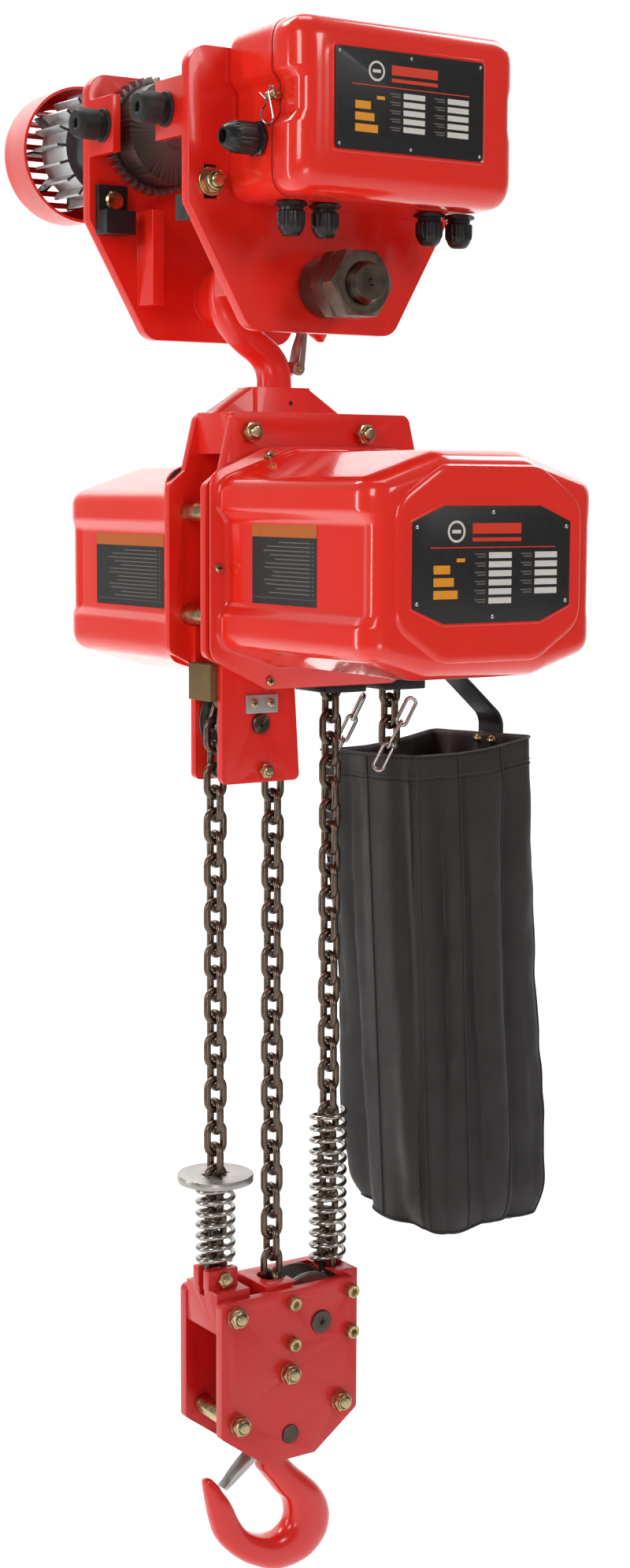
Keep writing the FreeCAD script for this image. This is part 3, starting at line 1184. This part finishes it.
def load_chain():
    """The whole load chain in separate links, shared out between its falls."""
    joints = walk(load_path(), size("pitch"))
    link = link_shape(size("wire"), size("link_length"), size("link_width"))
    links = run_of_links(joints, link)
    idler, block = -size("idler_drop"), -size("block_sheave_drop")
    load, load_x = -size("sheave_drop"), size("sheave_x")
    left_x, right_x = -size("idler_x"), size("block_sheave_x")
    shares = {"left_fall": [], "middle_fall": [], "right_fall": [], "upper_chain": [],
              "lower_chain_bend": []}
    for item in links:
        spot = item.BoundBox.Center
        if spot.x > load_x or spot.z > load or (spot.z > idler and spot.x < right_x):
            shares["upper_chain"].append(item)
        elif spot.z < block:
            shares["lower_chain_bend"].append(item)
        elif spot.x < left_x:
            shares["left_fall"].append(item)
        elif spot.x < right_x:
            shares["middle_fall"].append(item)
        else:
            shares["right_fall"].append(item)
    for label, items in shares.items():
        node(label, feature(label, Part.makeCompound(items)))


def bag_chains():
    """Two short chains from the slack guide to the bag's rim, as a list of links."""
    wire, pitch, width = size("bag_wire"), size("bag_pitch"), size("bag_link_width")
    link = link_shape(wire, pitch + 2 * wire + 0.4, width)
    left = size("bag_left") - 10
    slack = size("sheave_x + load_pitch_radius")
    under = -size("guide_low") - 10
    runs = [(V(slack + 4, -31, under), V(left, -20, under - 66)),
            (V(slack - 9, 31, under), V(left, 58, under - 66))]
    links = []
    for top, low in runs:
        way = (low - top).normalize()
        joints = [top + way * pitch * step for step in range(5)]
        links += run_of_links(joints[:4], link)
    return links


# ---- hook block ----

BLOCK_BOLTS = [("block_mid - 61", "-block_top - 14"), ("block_mid - 58", "-block_side_low + 11"),
               ("block_mid + 56", "-block_side_low + 11"), ("block_mid - 2", "-block_top - 80")]
GUIDE_SCREWS = [("block_sheave_x %s guide_screw_x" % sign, "-" + drop)
                for sign in ("-", "+") for drop in ("guide_screw_high", "guide_screw_low")]


def block_plates():
    left, right = "block_mid - block_half", "block_mid + block_half"
    outline = [(left, "-block_top"), (left, "-block_side_low"),
               ("block_mid - block_low_half", "-block_low"), ("block_mid + block_low_half", "-block_low"),
               (right, "-block_side_low"), (right, "-block_top")]
    holes = [("block_sheave_x", "-block_sheave_drop", "block_axle_radius + fit"),
             ("block_mid", "-hook_pin_drop", "hook_pin_radius + fit")]
    holes += [(x, z, "block_bolt_radius + fit") for x, z in BLOCK_BOLTS]
    holes += [(x, z, "guide_screw_radius + fit") for x, z in GUIDE_SCREWS]
    sides = [plate("block_%s" % label, outline, start, "block_thick", holes,
                   corners=[outline[index] for index in (0, 1, 4, 5)], radius="block_corner")
             for label, start in (("front", "-(block_gap_half + block_thick)"), ("rear", "block_gap_half"))]
    node("block_plates", group("block_plates", sides))


def block_bolts():
    """Four through bolts, three of them with spacer tubes, and the guides' socket screws."""
    gap, face = "block_gap_half", "block_gap_half + block_thick"
    reach = face + " + lock_nut + 3"
    pieces = []
    for index, (x, z) in enumerate(BLOCK_BOLTS):
        rod = cylinder("block_rod_%d" % index, "block_bolt_radius", "2 * (%s)" % reach, x,
                       "-(%s)" % reach, z)
        ends = [hexagon("block_nut_%d_%d" % (index, end), "lock_nut_flats", "lock_nut", x, start, z)
                for end, start in enumerate((face, "-(%s) - lock_nut" % face))]
        pieces.append(fuse("block_bolt_%d" % index, [rod] + ends))
        if index:
            tube = cylinder("block_tube_%d_solid" % index, "tube_radius", "2 * " + gap, x, "-" + gap, z)
            pieces.append(holed("block_tube_%d" % index, tube, "block_bolt_radius + fit", "2 * " + gap,
                                x, "-" + gap, z))
    for index, (x, z) in enumerate(GUIDE_SCREWS):
        for label, rod_start, head_start in (("front", "-(%s)" % face, "-(%s) - guide_head" % face),
                                             ("rear", gap, face)):
            name = "guide_screw_%s_%d" % (label, index)
            rod = cylinder(name + "_rod", "guide_screw_radius", "block_thick", x, rod_start, z)
            head = cylinder(name + "_head", "guide_head_radius", "guide_head", x, head_start, z)
            pieces.append(fuse(name, [rod, head]))
    node("block_bolts", group("block_bolts", pieces))


def anchor_block():
    """The clevis that holds the chain's dead end, with its bolt."""
    x = "-idler_x - idler_pitch_radius"
    base = box("anchor_base", "block_mid - block_half + 1", x + " + 21", "-block_gap_half",
               "block_gap_half", "-anchor_base_low", "-anchor_base_top")
    ears = box("anchor_ears", x + " - anchor_half", x + " + anchor_half", "-anchor_deep", "anchor_deep",
               "-anchor_base_top - 1", "-anchor_top")
    slot = box("anchor_slot", x + " - anchor_half - 1", x + " + anchor_half + 1", "-anchor_slot_half",
               "anchor_slot_half", "-anchor_base_top - 8", "-anchor_top + 1")
    hole_x, hole_z = BLOCK_BOLTS[0]
    tools = [slot,
             cylinder("anchor_tie_hole", "block_bolt_radius + fit", "2 * block_gap_half", hole_x,
                      "-block_gap_half", hole_z),
             cylinder("anchor_bolt_hole", "anchor_bolt_radius + fit", "2 * anchor_deep", x,
                      "-anchor_deep", "-anchor_drop")]
    body = cut("anchor_body", fuse("anchor_solid", [base, ears]), tools)
    rod = cylinder("anchor_rod", "anchor_bolt_radius", "2 * anchor_deep + 12", x, "-anchor_deep - 8",
                   "-anchor_drop")
    ends = [hexagon("anchor_nut", "bracket_nut_flats", "6", x, "-anchor_deep - 6", "-anchor_drop"),
            hexagon("anchor_head", "bracket_nut_flats", "4", x, "anchor_deep", "-anchor_drop")]
    node("anchor_block", group("anchor_block", [body, fuse("anchor_bolt", [rod] + ends)]))


def guide_blocks():
    """The block round the middle fall and the seat of the long spring, both cut clear of the sheave."""
    clear = cylinder("sheave_clear", "block_pitch_radius + link_width / 2 + 2", "2 * block_gap_half",
                     "block_sheave_x", "-block_gap_half", "-block_sheave_drop")
    middle = "-idler_x + idler_pitch_radius"
    right = "block_sheave_x + block_pitch_radius"
    pieces = []
    for name, left_x, right_x, x in (("guide_block", "-guide_block_left", "guide_block_right", middle),
                                     ("spring_seat", "seat_left", "seat_right", right)):
        solid = box(name + "_solid", left_x, right_x, "-block_gap_half", "block_gap_half",
                    "-seat_low", "-seat_top")
        bore = cylinder(name + "_bore", "guide_hole - 1.5", "seat_low - seat_top", x, "0",
                        "-seat_low", "Z")
        pieces.append(cut(name, solid, [clear, bore]))
    node("chain_guide_blocks", group("chain_guide_blocks", pieces))


def block_wheel():
    axle_reach = "block_gap_half + block_thick + block_axle_proud"
    node("sheave_axle", cylinder("sheave_axle", "block_axle_radius", "2 * (%s)" % axle_reach,
                                 "block_sheave_x", "-(%s)" % axle_reach, "-block_sheave_drop"))
    wheel = sheave_shape(size("block_pitch_radius"), size("wheel_flange_radius"))
    wheel = wheel.cut(Part.makeCylinder(size("block_axle_radius + fit"), 60, V(0, 0, -30)))
    node("block_sheave", feature("block_sheave",
         along_y(wheel, size("block_sheave_x"), 0, -size("block_sheave_drop"))))


def spring_shape(radius, wire, turns, low, high):
    """A coil spring about +Z, its wire's middle line from low + wire / 2 to high - wire / 2."""
    length = high - low - wire - 0.2
    helix = Part.makeHelix(length / turns, length, radius)
    helix.translate(V(0, 0, low + wire / 2 + 0.1))
    start = helix.Edges[0].firstVertex().Point
    tangent = V(0, radius, length / turns / (2 * math.pi)).normalize()
    section = Part.Wire(Part.makeCircle(wire / 2, start, tangent))
    return Part.Wire(helix).makePipeShell([section], True, True)


def limit_pieces():
    """The short spring and its disc on the left fall, and the long spring on the right one."""
    left_x = -size("idler_x + idler_pitch_radius")
    right_x = size("block_sheave_x + block_pitch_radius")
    disc_low = -size("disc_drop + disc")
    short = spring_shape(size("left_spring_radius"), size("left_spring_wire"),
                         size("left_spring_turns"), -size("anchor_top"), disc_low)
    short.translate(V(left_x, 0, 0))
    long = spring_shape(size("right_spring_radius"), size("right_spring_wire"),
                        size("right_spring_turns"), -size("seat_top"), -size("right_spring_top"))
    long.translate(V(right_x, 0, 0))
    node("limit_springs", feature("limit_springs", Part.makeCompound([short, long])))
    x = "-idler_x - idler_pitch_radius"
    disc = cylinder("disc_solid", "disc_radius", "disc", x, "0", "-disc_drop - disc", "Z")
    slots = []
    for label, half_x, half_y in (("along", "disc_slot / 2", "disc_slot_width / 2"),
                                  ("across", "disc_slot_width / 2", "disc_slot / 2")):
        slots.append(box("disc_slot_" + label, "%s - %s" % (x, half_x), "%s + %s" % (x, half_x),
                         "-" + half_y, half_y, "-disc_drop - disc", "-disc_drop"))
    node("limit_disc", cut("limit_disc", disc, slots))


# ---- chain bag ----

def chain_bag():
    """An open bag, wider at its foot, with the strap and the chains that carry it."""
    def level(left, right, front, back, z, inset):
        corners = [V(left + inset, front + inset, z), V(right - inset, front + inset, z),
                   V(right - inset, back - inset, z), V(left + inset, back - inset, z)]
        return Part.makePolygon(corners + corners[:1])
    top, low, wall = -size("bag_top"), -size("bag_low"), size("bag_wall")
    rim = (size("bag_left"), size("bag_right"), -size("bag_front"), size("bag_back"))
    foot = (size("bag_low_left"), size("bag_low_right"), -size("bag_low_front"), size("bag_low_back"))
    outer = Part.makeLoft([level(*foot, low, 0), level(*rim, top, 0)], True, True)
    inner = Part.makeLoft([level(*foot, low + wall, wall), level(*rim, top + 1, wall)], True, True)
    slope = Part.Face(Part.makePolygon([V(rim[0] - 9, -300, top - size("bag_rim_fall")), V(rim[1], -300, top),
                                        V(rim[1], -300, top + 9), V(rim[0] - 9, -300, top + 9),
                                        V(rim[0] - 9, -300, top - size("bag_rim_fall"))]))
    node("chain_bag", feature("chain_bag", outer.cut(inner.fuse(slope.extrude(V(0, 600, 0))))))
    thick = size("strap_thick")
    drop, wall_x = -size("strap_drop"), size("bag_right + strap_gap")
    bend_x, start_x = size("strap_bend"), size("strap_start")
    low_bend, end = -size("strap_low_bend"), -size("strap_low")
    points = [(start_x, drop), (bend_x, drop), (wall_x, low_bend), (wall_x, end),
              (wall_x + thick, end), (wall_x + thick, low_bend + 2), (bend_x + 2, drop + thick),
              (start_x, drop + thick)]
    face = outline_face(points)
    face.translate(V(0, -size("strap_front"), 0))
    strap = face.extrude(V(0, size("strap_front + strap_back"), 0))
    node("bag_hangers", feature("bag_hangers", Part.makeCompound([strap] + bag_chains())))


# ---- build, check and write ----

side_plate("front_side_plate", -1)
side_plate("rear_side_plate", 1)
for place_name, direction in (("left", -1), ("right", 1)):
    plain_wheel("wheel_front_" + place_name, direction)
    geared_wheel("wheel_rear_" + place_name, direction)
drive_pinion()
rubber_buffers()
suspension_shaft()
shaft_fittings()
flange_guards()
wheel_axles()
travel_gearmotor()
control_box()
cable_glands()
top_hook()
hook_yoke()
frame_plate("frame_front_plate", -1)
frame_plate("frame_rear_plate", 1)
frame_tie_bolts()
covers()
load_train()
motor_stator()
gearbox_case()
lower_bracket()
chain_guides()
load_chain()
block_plates()
block_bolts()
anchor_block()
guide_blocks()
block_wheel()
limit_pieces()
lower_hook()
chain_bag()
doc.recompute()

for item in doc.Objects:
    if "Invalid" in item.State or "Error" in item.State:
        raise RuntimeError("%s is %s" % (item.Name, item.State))
os.makedirs("parts", exist_ok=True)
for label, item in NODES.items():
    shape = item.Shape
    if shape.isNull() or not shape.isValid() or not shape.Solids:
        raise RuntimeError("%s has no valid solid" % label)
    shape.exportStep("parts/%s.step" % label)
    print("%-22s solids %3d  volume %.0f" % (label, len(shape.Solids), shape.Volume))
print(len(NODES), "nodes")
